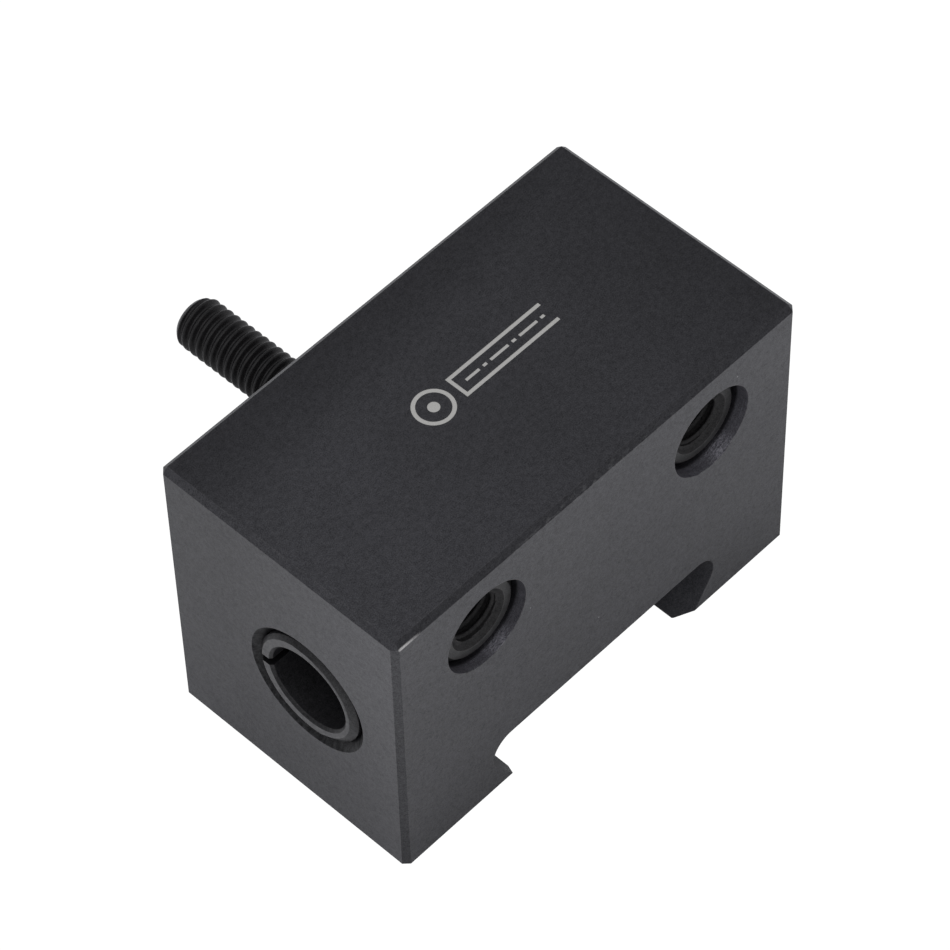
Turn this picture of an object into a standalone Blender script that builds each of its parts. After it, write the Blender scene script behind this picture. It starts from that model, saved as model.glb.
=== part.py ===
"""Heavy-duty boring-bar holder of a quick change tool post set (small 0XA size).

A black-oxide steel block with a dovetail slot that hangs on the tool post, a
split reducing sleeve in its bore, two cotter clamps that pinch the sleeve, and
a height stud with its nuts.  Lengths are in metres.

Frame: the block lies on its two dovetail lands.  X runs along the boring bar
bore, +Z is up from the lands to the plain outer face, +Y is the side the
height stud stands out of and the clamp screw heads face (the upper side in use).
The origin is the centre of the footprint of the whole holder, stud included.
"""

import math

import bmesh
import bpy
from mathutils import Matrix, Vector

MM = 0.001

# Every ..._Y size below is measured from the block's centre plane.

# ---------------------------------------------------------------- block
BLOCK_LENGTH = 54.0 * MM         # X, along the bore
BLOCK_WIDTH = 30.16 * MM         # Y, 1 3/16 in, lower side to stud side
BLOCK_HEIGHT = 38.0 * MM         # Z, lands to plain outer face
HALF_LENGTH = BLOCK_LENGTH / 2.0
HALF_WIDTH = BLOCK_WIDTH / 2.0
EDGE_CHAMFER = 0.6 * MM
LAND_CHAMFER = 2.34 * MM         # all round the dovetail side
CUT_OVERRUN = 2.0 * MM           # how far cutters reach past what they cut

STUD_TIP_Y = 40.55 * MM
CENTRE_Y = -(STUD_TIP_Y - HALF_WIDTH) / 2.0   # the block's centre plane

# ---------------------------------------------------------------- bore and sleeve
BORE_RADIUS = 6.40 * MM          # 1/2 in bore, running clearance included
BORE_MOUTH_RADIUS = 7.28 * MM
BORE_MOUTH_DEPTH = 0.9 * MM
BORE_Y = CENTRE_Y - 2.93 * MM    # in the frame, not from the centre plane
BORE_Z = 19.87 * MM
BORE_CENTRE = (0.0, BORE_Y, BORE_Z)

SLEEVE_RADIUS = 6.32 * MM
SLEEVE_HOLE_RADIUS = 9.525 * MM / 2.0   # 3/8 in boring bar
SLEEVE_OUTER_CHAMFER = 0.5 * MM
SLEEVE_HOLE_CHAMFER = 0.25 * MM
SLIT_WIDTH = 1.0 * MM
SLIT_DROP = math.radians(3.0)    # tilt of the slit from +Y towards -Z

# ---------------------------------------------------------------- clamps
SIDES = (("left", -1), ("right", 1))    # name, sign of X
CLAMP_X = 15.3 * MM              # cross bores at +-CLAMP_X
CLAMP_Z = 29.6 * MM
CROSS_BORE_RADIUS = 5.15 * MM

COTTER_RADIUS = 5.05 * MM
COTTER_CHAMFER = 0.7 * MM        # outer end of the threaded cotter
COTTER_EDGE = 0.3 * MM           # the other cotter ends
SCALLOP_RADIUS = SLEEVE_RADIUS + 0.3 * MM
THREADED_SUNK = {"left": 1.14 * MM, "right": 1.40 * MM}   # outer end, in from the lower side
THREADED_INNER_Y = -3.6 * MM
THREADED_HOLE_RADIUS = 3.05 * MM
THREADED_MOUTH_DEPTH = 0.3 * MM
THREADED_MOUTH_FLARE = 0.25 * MM
PLAIN_INNER_Y = -2.3 * MM
PLAIN_OUTER_Y = 7.5 * MM
PLAIN_HOLE_RADIUS = 3.2 * MM

SCREW_RADIUS = 2.9 * MM
SCREW_LENGTH = 16.0 * MM         # under the head
SCREW_TIP_CHAMFER = 0.6 * MM
SCREW_NECK_FLARE = 0.2 * MM
SCREW_SEAT_Y = 7.8 * MM          # underside of the head
HEAD_RADIUS = 5.0 * MM
HEAD_HEIGHT = 6.0 * MM
HEAD_SEAT_CHAMFER = 0.3 * MM
HEAD_TOP_CHAMFER = 0.6 * MM
SOCKET_ACROSS_FLATS = 5.0 * MM
SOCKET_DEPTH = 3.0 * MM

# ---------------------------------------------------------------- dovetail slot
SLOT_X = 0.7 * MM                # slot centre
SLOT_HALF_WIDTH = 11.525 * MM    # at the land plane, before the lips are rounded
SLOT_CEILING = 9.54 * MM
SLOT_ANGLE = math.radians(33.0)  # flank from the vertical
LIP_RADIUS = 0.45 * MM
LIP_STEPS = 6
LIP_RELIEF_X = 0.05 * MM         # start of the outline, outside the lip's arc
LIP_RELIEF_Z = 0.02 * MM         # and below the lands
FILLET_RADIUS = 2.5 * MM         # slot corners
FILLET_STEPS = 9

# ---------------------------------------------------------------- height stud, M6
STUD_CENTRE = (0.0, CENTRE_Y, 13.94 * MM)
STUD_HOLE_RADIUS = 3.1 * MM
STUD_HOLE_DEPTH = 11.0 * MM      # to the middle of the drill point
DRILL_POINT_HALF = 0.6 * MM      # half the length of the drill point
STUD_HOLE_CHAMFER = 0.3 * MM

PITCH = 1.0 * MM
CREST_RADIUS = 2.93 * MM
ROOT_RADIUS = 2.40 * MM
# One pitch of thread: (fraction of the pitch, radius)
THREAD_SHAPE = (
    (0.00, ROOT_RADIUS), (0.22, ROOT_RADIUS), (0.47, CREST_RADIUS), (0.75, CREST_RADIUS),
)
THREAD_START_Y = HALF_WIDTH - 1.5 * MM
THREAD_MARGIN = 1.0 * MM         # envelope outside the crests
STUD_ENGAGED = 10.5 * MM         # length inside the block
STUD_CHAMFER = 0.9 * MM
STUD_CHAMFER_MARGIN = 0.15 * MM  # carries the chamfer's slope outside the crests
SHANK_CHAMFER = 0.6 * MM
SHANK_OVERLAP = 0.5 * MM         # plain shank into the thread

# ---------------------------------------------------------------- nuts
NUT_GAP = 0.3 * MM
NUT_BORE_RADIUS = 3.1 * MM
NUT_BORE_CHAMFER = 0.3 * MM

HEIGHT_NUT_RADIUS = 9.0 * MM
HEIGHT_NUT_THICKNESS = 7.0 * MM
RIM_THICKNESS = 4.6 * MM
RIM_CHAMFER = 0.5 * MM
COLLAR_RADIUS = 6.6 * MM
COLLAR_CHAMFER = 0.4 * MM
KNURLS = 40
KNURL_DEPTH = 0.35 * MM

JAM_ACROSS_FLATS = 10.0 * MM
JAM_THICKNESS = 3.2 * MM
JAM_FACE_RADIUS = JAM_ACROSS_FLATS / 2.0 - 0.1 * MM       # where the corner turning starts
JAM_ENVELOPE_RADIUS = JAM_ACROSS_FLATS / 2.0 + 2.0 * MM
JAM_CORNER_ANGLE = math.radians(30.0)
JAM_BORE_OVERRUN = 1.0 * MM

# ---------------------------------------------------------------- shading
SMOOTH_ANGLE = math.radians(35)
NUT_SMOOTH_ANGLE = math.radians(20)    # keeps knurls and chamfers crisp


# ---------------------------------------------------------------- objects
def clear():
    for obj in list(bpy.data.objects):
        bpy.data.objects.remove(obj, do_unlink=True)


def black_metal(name, colour, roughness):
    mat = bpy.data.materials.new(name)
    mat.use_nodes = True
    shader = mat.node_tree.nodes["Principled BSDF"]
    shader.inputs["Base Color"].default_value = (*colour, 1.0)
    shader.inputs["Roughness"].default_value = roughness
    shader.inputs["Metallic"].default_value = 1.0
    return mat


def add(name, bm, mat=None, origin=(0.0, 0.0, 0.0), smooth=SMOOTH_ANGLE):
    """Object whose mesh is given in world coordinates and whose origin is set."""
    bmesh.ops.translate(bm, verts=bm.verts, vec=-Vector(origin))
    bmesh.ops.recalc_face_normals(bm, faces=bm.faces)
    mesh = bpy.data.meshes.new(name)
    bm.to_mesh(mesh)
    bm.free()
    mesh.shade_smooth()
    mesh.set_sharp_from_angle(angle=smooth)
    obj = bpy.data.objects.new(name, mesh)
    obj.location = origin
    bpy.context.scene.collection.objects.link(obj)
    if mat:
        mesh.materials.append(mat)
    return obj


def combine(obj, name, bm, operation="DIFFERENCE"):
    """Boolean modifier on obj, with a hidden helper object made from bm."""
    tool = add(name, bm)
    tool.hide_render = True
    tool.display_type = "WIRE"
    modifier = obj.modifiers.new(tool.name, "BOOLEAN")
    modifier.operation = operation
    modifier.object = tool
    modifier.solver = "EXACT"


# ---------------------------------------------------------------- shapes
# For each axis: its direction, then the first and second directions across it
AXES = {
    "X": (Vector((1, 0, 0)), Vector((0, 1, 0)), Vector((0, 0, 1))),
    "Y": (Vector((0, 1, 0)), Vector((0, 0, 1)), Vector((1, 0, 0))),
    "Z": (Vector((0, 0, 1)), Vector((1, 0, 0)), Vector((0, 1, 0))),
}


def placer(axis, centre):
    """Function from (distance along axis, first, second) to a world point."""
    along, across_1, across_2 = AXES[axis]
    centre = Vector(centre)
    return lambda distance, first, second: (
        centre + along * distance + (across_1 * first + across_2 * second))


def add_rings(bm, profile, axis, centre, segments, turn=0.0, scale=None):
    """One ring of vertices per (distance, radius); radius 0 gives one vertex.

    turn is the angle of the first column in degrees.  scale, if given,
    returns a radius factor for (profile index, column).
    """
    place = placer(axis, centre)
    rings = []
    for k, (distance, radius) in enumerate(profile):
        if radius == 0.0:
            rings.append([bm.verts.new(place(distance, 0.0, 0.0))])
            continue
        ring = []
        for i in range(segments):
            angle = math.radians(turn) + 2.0 * math.pi * i / segments
            r = radius * (scale(k, i) if scale else 1.0)
            ring.append(bm.verts.new(place(distance, r * math.cos(angle), r * math.sin(angle))))
        rings.append(ring)
    return rings


def bridge(bm, ring_a, ring_b):
    """Faces between two rings of equal length."""
    count = len(ring_a)
    for i in range(count):
        j = (i + 1) % count
        bm.faces.new((ring_a[i], ring_a[j], ring_b[j], ring_b[i]))


def fan(bm, point, ring):
    count = len(ring)
    for i in range(count):
        bm.faces.new((point, ring[(i + 1) % count], ring[i]))


def lathe(profile, axis, centre, segments, turn=0.0):
    """Turned body.  Flat ends are capped if the profile starts off the axis;
    one that starts on the axis and ends off it stays open at its last ring."""
    bm = bmesh.new()
    rings = add_rings(bm, profile, axis, centre, segments, turn)
    for a, b in zip(rings, rings[1:]):
        if len(a) == 1:
            fan(bm, a[0], b)
        elif len(b) == 1:
            fan(bm, b[0], a)
        else:
            bridge(bm, a, b)
    if len(rings[0]) > 1:
        bm.faces.new(list(reversed(rings[0])))
        bm.faces.new(rings[-1])
    return bm


def ring_lathe(profile, axis, centre, segments, scale=None):
    """Turned body with a through hole: the profile is a closed loop."""
    bm = bmesh.new()
    rings = add_rings(bm, profile, axis, centre, segments, scale=scale)
    for a, b in zip(rings, rings[1:] + rings[:1]):
        bridge(bm, a, b)
    return bm


def prism(outline, axis, low, high, centre=(0.0, 0.0, 0.0)):
    """Straight prism of a closed outline of (first, second) coordinates."""
    place = placer(axis, centre)
    bm = bmesh.new()
    bottom = [bm.verts.new(place(low, first, second)) for first, second in outline]
    top = [bm.verts.new(place(high, first, second)) for first, second in outline]
    bm.faces.new(list(reversed(bottom)))
    bm.faces.new(top)
    bridge(bm, bottom, top)
    return bm


def hexagon(across_flats):
    radius = across_flats / math.sqrt(3.0)
    return [(radius * math.cos(math.pi / 3 * k), radius * math.sin(math.pi / 3 * k))
            for k in range(6)]


def arc(x, z, radius, first, last, steps):
    points = []
    for k in range(steps + 1):
        angle = first + (last - first) * k / steps
        points.append((x + radius * math.cos(angle), z + radius * math.sin(angle)))
    return points


def helix(low, high, centre, columns):
    """Right-hand thread along +Y: rows of vertices climb one pitch per turn."""
    place = placer("Y", centre)
    per_turn = len(THREAD_SHAPE)
    turns = int(math.ceil((high - low) / PITCH)) + 1
    rows = turns * per_turn + 1
    bm = bmesh.new()
    grid = []
    for k in range(rows):
        fraction, radius = THREAD_SHAPE[k % per_turn]
        row = []
        for i in range(columns):
            # angles turn from +Z to +X, which is the right-hand way about +Y
            angle = 2.0 * math.pi * i / columns
            distance = low - PITCH + PITCH * (k // per_turn + fraction + i / columns)
            row.append(bm.verts.new(
                place(distance, radius * math.cos(angle), radius * math.sin(angle))))
        grid.append(row)
    for a, b in zip(grid, grid[1:]):
        for i in range(columns - 1):
            bm.faces.new((a[i], a[i + 1], b[i + 1], b[i]))
    # the last column meets the first one a turn further on
    for k in range(rows - 1 - per_turn):
        next_turn = k + per_turn
        bm.faces.new((grid[k][-1], grid[next_turn][0], grid[next_turn + 1][0], grid[k + 1][-1]))
    # each end closes on a point beyond the thread
    low_point = bm.verts.new(place(low - 1.5 * PITCH, 0.0, 0.0))
    fan(bm, low_point, grid[0] + [grid[k][0] for k in range(per_turn, 0, -1)])
    top = rows - 1
    high_point = bm.verts.new(place(high + 1.5 * PITCH, 0.0, 0.0))
    fan(bm, high_point, grid[top] + [grid[k][-1] for k in range(top - 1, top - per_turn - 1, -1)])
    return bm


# ---------------------------------------------------------------- the block
def clamp_centre(sign):
    return (sign * CLAMP_X, CENTRE_Y, CLAMP_Z)


def chamfered_block(mat):
    bm = bmesh.new()
    bmesh.ops.create_cube(bm, size=1.0)
    bmesh.ops.scale(bm, vec=(BLOCK_LENGTH, BLOCK_WIDTH, BLOCK_HEIGHT), verts=bm.verts)
    bmesh.ops.translate(bm, vec=(0.0, CENTRE_Y, BLOCK_HEIGHT / 2.0), verts=bm.verts)
    weight = bm.edges.layers.float.new("bevel_weight_edge")
    for edge in bm.edges:
        on_lands = all(vert.co.z < 1e-6 for vert in edge.verts)
        edge[weight] = 1.0 if on_lands else EDGE_CHAMFER / LAND_CHAMFER
    block = add("holder_body", bm, mat, origin=(0.0, CENTRE_Y, 0.0))
    bevel = block.modifiers.new("edge_chamfers", "BEVEL")
    bevel.limit_method = "WEIGHT"
    bevel.offset_type = "OFFSET"
    bevel.width = LAND_CHAMFER
    bevel.segments = 1
    return block


def bore_shape():
    """Boring bar bore with a chamfered mouth at each end."""
    slope = (BORE_MOUTH_RADIUS - BORE_RADIUS) / BORE_MOUTH_DEPTH
    flare = BORE_MOUTH_RADIUS + slope * CUT_OVERRUN
    end, mouth = HALF_LENGTH + CUT_OVERRUN, HALF_LENGTH - BORE_MOUTH_DEPTH
    return lathe(
        [(-end, flare), (-mouth, BORE_RADIUS), (mouth, BORE_RADIUS), (end, flare)],
        "X", BORE_CENTRE, segments=72, turn=1.3)


def cross_bore_shape(sign):
    end = HALF_WIDTH + CUT_OVERRUN
    return lathe([(-end, CROSS_BORE_RADIUS), (end, CROSS_BORE_RADIUS)],
                 "Y", clamp_centre(sign), segments=56, turn=2.1)


def stud_hole_shape():
    """Blind hole with a drill point and a 45 degree mouth."""
    bottom = HALF_WIDTH - STUD_HOLE_DEPTH
    mouth = HALF_WIDTH - STUD_HOLE_CHAMFER
    return lathe(
        [(bottom - DRILL_POINT_HALF, 0.0), (bottom + DRILL_POINT_HALF, STUD_HOLE_RADIUS),
         (mouth, STUD_HOLE_RADIUS), (mouth + CUT_OVERRUN, STUD_HOLE_RADIUS + CUT_OVERRUN)],
        "Y", STUD_CENTRE, segments=28)


def dovetail_shape():
    """Slot along Y, narrow at the lands, with rounded lips and corners."""
    # arc centres, from the sharp corners that the flank makes
    half_corner = (math.pi / 2.0 - SLOT_ANGLE) / 2.0
    lip_x = SLOT_HALF_WIDTH + LIP_RADIUS / math.tan(half_corner)
    corner_x = SLOT_HALF_WIDTH + math.tan(SLOT_ANGLE) * SLOT_CEILING
    fillet_x = corner_x - FILLET_RADIUS / math.tan(half_corner)

    start_x = lip_x + LIP_RELIEF_X
    half = [(start_x, -CUT_OVERRUN), (start_x, -LIP_RELIEF_Z)]
    half += arc(lip_x, LIP_RADIUS, LIP_RADIUS,
                first=-math.pi / 2.0, last=-math.pi - SLOT_ANGLE, steps=LIP_STEPS)
    half += arc(fillet_x, SLOT_CEILING - FILLET_RADIUS, FILLET_RADIUS,
                first=-SLOT_ANGLE, last=math.pi / 2.0, steps=FILLET_STEPS)
    outline = [(z, SLOT_X + x) for x, z in half] + [(z, SLOT_X - x) for x, z in reversed(half)]
    end = HALF_WIDTH + CUT_OVERRUN
    return prism(outline, "Y", -end, end, (0.0, CENTRE_Y, 0.0))


def holder_body(mat):
    block = chamfered_block(mat)
    combine(block, "bore_cutter", bore_shape())
    for side, sign in SIDES:
        combine(block, "cross_bore_cutter_" + side, cross_bore_shape(sign))
    combine(block, "stud_hole_cutter", stud_hole_shape())
    combine(block, "dovetail_cutter", dovetail_shape())


# ---------------------------------------------------------------- sleeve and clamps
def reducing_sleeve(mat):
    end, outer, hole = HALF_LENGTH, SLEEVE_OUTER_CHAMFER, SLEEVE_HOLE_CHAMFER
    sleeve = add("reducing_sleeve", ring_lathe(
        [(-end, SLEEVE_RADIUS - outer), (-end + outer, SLEEVE_RADIUS),
         (end - outer, SLEEVE_RADIUS), (end, SLEEVE_RADIUS - outer),
         (end, SLEEVE_HOLE_RADIUS + hole), (end - hole, SLEEVE_HOLE_RADIUS),
         (-end + hole, SLEEVE_HOLE_RADIUS), (-end, SLEEVE_HOLE_RADIUS + hole)],
        "X", BORE_CENTRE, segments=72), mat, origin=BORE_CENTRE)

    # slit through one wall, towards the stud side
    near, far, half = 0.5 * SLEEVE_HOLE_RADIUS, SLEEVE_RADIUS + CUT_OVERRUN, SLIT_WIDTH / 2.0
    slit = prism([(near, -half), (far, -half), (far, half), (near, half)],
                 "X", -end - CUT_OVERRUN, end + CUT_OVERRUN)
    bmesh.ops.rotate(slit, verts=slit.verts, cent=(0, 0, 0),
                     matrix=Matrix.Rotation(-SLIT_DROP, 3, "X"))
    bmesh.ops.translate(slit, verts=slit.verts, vec=BORE_CENTRE)
    combine(sleeve, "sleeve_slit_cutter", slit)


def cotter(name, profile, sign, mat):
    """Turned cotter, hollowed to the sleeve's curve."""
    centre = clamp_centre(sign)
    obj = add(name, ring_lathe(profile, "Y", centre, segments=48), mat, origin=centre)
    end = CROSS_BORE_RADIUS + CUT_OVERRUN
    combine(obj, "scallop_cutter_" + name, lathe(
        [(-end, SCALLOP_RADIUS), (end, SCALLOP_RADIUS)],
        "X", (sign * CLAMP_X, BORE_Y, BORE_Z), segments=72, turn=2.5))


def threaded_cotter(side, sign, mat):
    outer, inner = -HALF_WIDTH + THREADED_SUNK[side], THREADED_INNER_Y
    cotter("threaded_cotter_" + side, [
        (outer, COTTER_RADIUS - COTTER_CHAMFER), (outer + COTTER_CHAMFER, COTTER_RADIUS),
        (inner - COTTER_EDGE, COTTER_RADIUS), (inner, COTTER_RADIUS - COTTER_EDGE),
        (inner, THREADED_HOLE_RADIUS), (outer + THREADED_MOUTH_DEPTH, THREADED_HOLE_RADIUS),
        (outer, THREADED_HOLE_RADIUS + THREADED_MOUTH_FLARE)], sign, mat)


def plain_cotter(side, sign, mat):
    inner, outer = PLAIN_INNER_Y, PLAIN_OUTER_Y
    cotter("plain_cotter_" + side, [
        (inner, COTTER_RADIUS - COTTER_EDGE), (inner + COTTER_EDGE, COTTER_RADIUS),
        (outer - COTTER_EDGE, COTTER_RADIUS), (outer, COTTER_RADIUS - COTTER_EDGE),
        (outer, PLAIN_HOLE_RADIUS), (inner, PLAIN_HOLE_RADIUS)], sign, mat)


def cap_screw(side, sign, mat):
    centre = clamp_centre(sign)
    seat = SCREW_SEAT_Y
    top, tip = seat + HEAD_HEIGHT, seat - SCREW_LENGTH
    screw = add("cap_screw_" + side, lathe(
        [(tip, 0.0), (tip, SCREW_RADIUS - SCREW_TIP_CHAMFER),
         (tip + SCREW_TIP_CHAMFER, SCREW_RADIUS), (seat - SCREW_NECK_FLARE, SCREW_RADIUS),
         (seat, SCREW_RADIUS + SCREW_NECK_FLARE), (seat, HEAD_RADIUS - HEAD_SEAT_CHAMFER),
         (seat + HEAD_SEAT_CHAMFER, HEAD_RADIUS), (top - HEAD_TOP_CHAMFER, HEAD_RADIUS),
         (top, HEAD_RADIUS - HEAD_TOP_CHAMFER), (top, 0.0)],
        "Y", centre, segments=48), mat, origin=centre)
    combine(screw, "hex_cutter_" + side, prism(
        hexagon(SOCKET_ACROSS_FLATS), "Y", top - SOCKET_DEPTH, top + CUT_OVERRUN, centre))


# ---------------------------------------------------------------- stud and nuts
def height_stud(mat):
    start, tip = THREAD_START_Y, STUD_TIP_Y
    stud = add("height_stud", helix(start, tip, STUD_CENTRE, columns=14),
               mat, origin=STUD_CENTRE)
    # trims the thread's ends and chamfers the tip
    wide = CREST_RADIUS + THREAD_MARGIN
    shoulder = tip - STUD_CHAMFER - STUD_CHAMFER_MARGIN
    combine(stud, "stud_envelope", lathe(
        [(start, wide), (shoulder, wide), (shoulder, CREST_RADIUS + STUD_CHAMFER_MARGIN),
         (tip, CREST_RADIUS - STUD_CHAMFER)],
        "Y", STUD_CENTRE, segments=28), "INTERSECT")
    # plain end held in the block
    inner = HALF_WIDTH - STUD_ENGAGED
    combine(stud, "stud_shank", lathe(
        [(inner, CREST_RADIUS - SHANK_CHAMFER), (inner + SHANK_CHAMFER, CREST_RADIUS),
         (start + SHANK_OVERLAP, CREST_RADIUS)],
        "Y", STUD_CENTRE, segments=28, turn=3.0), "UNION")


def height_nut(mat):
    """Knurled rim on the block's side, plain collar beyond it."""
    low = HALF_WIDTH + NUT_GAP
    rim, high = low + RIM_THICKNESS, low + HEIGHT_NUT_THICKNESS
    profile = [
        (low, HEIGHT_NUT_RADIUS - RIM_CHAMFER), (low + RIM_CHAMFER, HEIGHT_NUT_RADIUS),
        (rim - RIM_CHAMFER, HEIGHT_NUT_RADIUS), (rim, HEIGHT_NUT_RADIUS - RIM_CHAMFER),
        (rim, COLLAR_RADIUS), (high - COLLAR_CHAMFER, COLLAR_RADIUS),
        (high, COLLAR_RADIUS - COLLAR_CHAMFER), (high, NUT_BORE_RADIUS + NUT_BORE_CHAMFER),
        (high - NUT_BORE_CHAMFER, NUT_BORE_RADIUS), (low + NUT_BORE_CHAMFER, NUT_BORE_RADIUS),
        (low, NUT_BORE_RADIUS + NUT_BORE_CHAMFER)]

    def knurl(k, i):
        # on the rim's full radius, every second column is a groove
        groove = k in (1, 2) and i % 2 == 1
        return 1.0 - KNURL_DEPTH / HEIGHT_NUT_RADIUS if groove else 1.0

    add("height_nut", ring_lathe(profile, "Y", STUD_CENTRE, segments=2 * KNURLS, scale=knurl),
        mat, origin=STUD_CENTRE, smooth=NUT_SMOOTH_ANGLE)


def jam_nut(mat):
    low = HALF_WIDTH + 2.0 * NUT_GAP + HEIGHT_NUT_THICKNESS
    high = low + JAM_THICKNESS
    nut = add("jam_nut", prism(hexagon(JAM_ACROSS_FLATS), "Y", low, high, STUD_CENTRE),
              mat, origin=STUD_CENTRE, smooth=NUT_SMOOTH_ANGLE)
    # corners turned off on both faces
    drop = (JAM_ENVELOPE_RADIUS - JAM_FACE_RADIUS) * math.tan(JAM_CORNER_ANGLE)
    combine(nut, "jam_nut_envelope", lathe(
        [(low, JAM_FACE_RADIUS), (low + drop, JAM_ENVELOPE_RADIUS),
         (high - drop, JAM_ENVELOPE_RADIUS), (high, JAM_FACE_RADIUS)],
        "Y", STUD_CENTRE, segments=48), "INTERSECT")
    flare = NUT_BORE_RADIUS + NUT_BORE_CHAMFER + JAM_BORE_OVERRUN
    combine(nut, "jam_nut_bore", lathe(
        [(low - JAM_BORE_OVERRUN, flare), (low + NUT_BORE_CHAMFER, NUT_BORE_RADIUS),
         (high - NUT_BORE_CHAMFER, NUT_BORE_RADIUS), (high + JAM_BORE_OVERRUN, flare)],
        "Y", STUD_CENTRE, segments=36, turn=1.0))


def main():
    clear()
    block = black_metal("black_oxide_block", colour=(0.060, 0.061, 0.066), roughness=0.42)
    sleeve = black_metal("black_oxide_sleeve", colour=(0.045, 0.045, 0.048), roughness=0.38)
    clamp = black_metal("black_oxide_clamp", colour=(0.050, 0.050, 0.052), roughness=0.45)
    screw = black_metal("black_screw", colour=(0.030, 0.030, 0.032), roughness=0.35)
    nut = black_metal("black_nut", colour=(0.038, 0.038, 0.041), roughness=0.40)

    holder_body(block)
    reducing_sleeve(sleeve)
    for side, sign in SIDES:
        threaded_cotter(side, sign, clamp)
        plain_cotter(side, sign, clamp)
        cap_screw(side, sign, screw)
    height_stud(screw)
    height_nut(nut)
    jam_nut(nut)


main()
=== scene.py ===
"""Looks of a heavy-duty boring-bar holder.

The block stands on z = 0, where a dovetail slot runs through it along Y. A split
sleeve lies in a bore along X. On each side of x = 0 a cross hole along Y holds a
clamp: a tapped cotter towards -Y, a plain one towards +Y, and a cap screw whose
head points to +Y. A stud with a knurled nut and a jam nut stands out of the +Y side.
Lengths are in metres, in the frame of the CAD; MM scales millimetres.
"""
import math
from types import SimpleNamespace

import bmesh
import bpy
from mathutils import Matrix, Vector, noise


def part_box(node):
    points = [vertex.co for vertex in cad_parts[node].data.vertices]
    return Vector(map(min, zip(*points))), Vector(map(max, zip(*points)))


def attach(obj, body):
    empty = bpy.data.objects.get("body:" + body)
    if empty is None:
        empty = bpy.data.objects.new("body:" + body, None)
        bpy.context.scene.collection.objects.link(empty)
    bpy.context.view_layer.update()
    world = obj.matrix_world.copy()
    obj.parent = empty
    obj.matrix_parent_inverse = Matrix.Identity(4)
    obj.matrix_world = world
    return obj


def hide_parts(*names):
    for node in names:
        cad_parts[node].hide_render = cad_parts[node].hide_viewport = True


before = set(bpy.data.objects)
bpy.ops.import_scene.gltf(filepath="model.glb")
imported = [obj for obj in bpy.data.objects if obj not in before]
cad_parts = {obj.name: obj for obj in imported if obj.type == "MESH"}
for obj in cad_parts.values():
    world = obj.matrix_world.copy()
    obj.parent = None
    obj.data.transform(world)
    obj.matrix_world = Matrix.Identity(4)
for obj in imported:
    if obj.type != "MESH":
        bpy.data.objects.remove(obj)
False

MM = 0.001
scene = bpy.context.scene


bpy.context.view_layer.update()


# ------------------------------------------------- places, read from the frame
def span(node):
    low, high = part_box(node)
    return Vector(low), Vector(high)


def middle(node):
    return [(low + high) / 2.0 for low, high in zip(*span(node))]


def y_span(node):
    low, high = span(node)
    return low.y, high.y


BLOCK_LO, BLOCK_HI = span("holder_body")
BLOCK_MID = (BLOCK_LO + BLOCK_HI) / 2.0
X_LO, X_HI = BLOCK_LO.x, BLOCK_HI.x
Y_LO, Y_HI = BLOCK_LO.y, BLOCK_HI.y
Y_MID = BLOCK_MID.y
TOP = BLOCK_HI.z
_, BORE_Y, BORE_Z = middle("reducing_sleeve")
SLEEVE_X = tuple(corner.x for corner in span("reducing_sleeve"))
STUD_X = 0.0
STUD_Z = middle("height_stud")[2]
STUD_Y = y_span("height_stud")
NUT_Y = y_span("height_nut")
JAM_Y = y_span("jam_nut")
CLAMP = {}
for _side in ("left", "right"):
    _x, _, _z = middle("cap_screw_" + _side)
    CLAMP[_side] = SimpleNamespace(
        x=_x, z=_z, screw=y_span("cap_screw_" + _side),
        tapped=y_span("threaded_cotter_" + _side), plain=y_span("plain_cotter_" + _side))

# ------------------------------------------------- sizes; a name in _R is a radius
OVERSHOOT = 2.0 * MM  # how far cutters reach past the surface they open

EDGE_CHAMFER = 0.6 * MM
LAND_CHAMFER = 2.34 * MM  # along the edges of the face at z = 0
BORE_R, BORE_MOUTH_R, BORE_MOUTH_DEPTH = 6.40 * MM, 7.28 * MM, 0.9 * MM
CROSS_R = 5.15 * MM
STUD_HOLE_R, STUD_HOLE_DEPTH = 3.1 * MM, 11.0 * MM

SLOT_X = 0.7 * MM  # centre of the dovetail slot
SLOT_HALF, SLOT_NOSE = 11.525 * MM, 0.45 * MM  # half width at z = 0, lip radius
SLOT_CEILING, SLOT_ANGLE, SLOT_FILLET = 9.54 * MM, math.radians(33.0), 2.5 * MM
NOSE_STEPS, FILLET_STEPS = 16, 26

SLEEVE_R, SLEEVE_ID_R = 6.32 * MM, 4.7625 * MM
SLEEVE_BEVEL, SLEEVE_ID_BEVEL = 0.42 * MM, 0.28 * MM
SLEEVE_FILED = 0.42 * MM  # extra width of the outer bevel
SLEEVE_SLIT, SLEEVE_SLIT_DROP = 1.0 * MM, math.radians(3.0)

COTTER_R, COTTER_CHAMFER, COTTER_EDGE = 5.05 * MM, 0.7 * MM, 0.3 * MM
COTTER_HOLE_R, COTTER_HOLE_EDGE = 3.2 * MM, 0.2 * MM
SCALLOP_R = SLEEVE_R + 0.3 * MM

HEAD_R, HEAD_H = 5.0 * MM, 6.0 * MM
HEAD_KNURL = 0.10 * MM
HEX_FLATS, HEX_DEPTH = 5.0 * MM, 3.0 * MM

NUT_R, NUT_RIM, NUT_COLLAR_R = 9.0 * MM, 4.6 * MM, 6.6 * MM
NUT_EDGE = 0.5 * MM
KNURLS = 40
KNURL_STEPS = (0.0, -0.10, -0.27, -0.36, -0.27, -0.10)  # one groove, in mm
JAM_FLATS = 10.0 * MM

PITCH, CREST, ROOT = 1.0 * MM, 2.93 * MM, 2.52 * MM  # M6 thread; crest and root radii
THREAD_COLUMNS = 96
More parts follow.
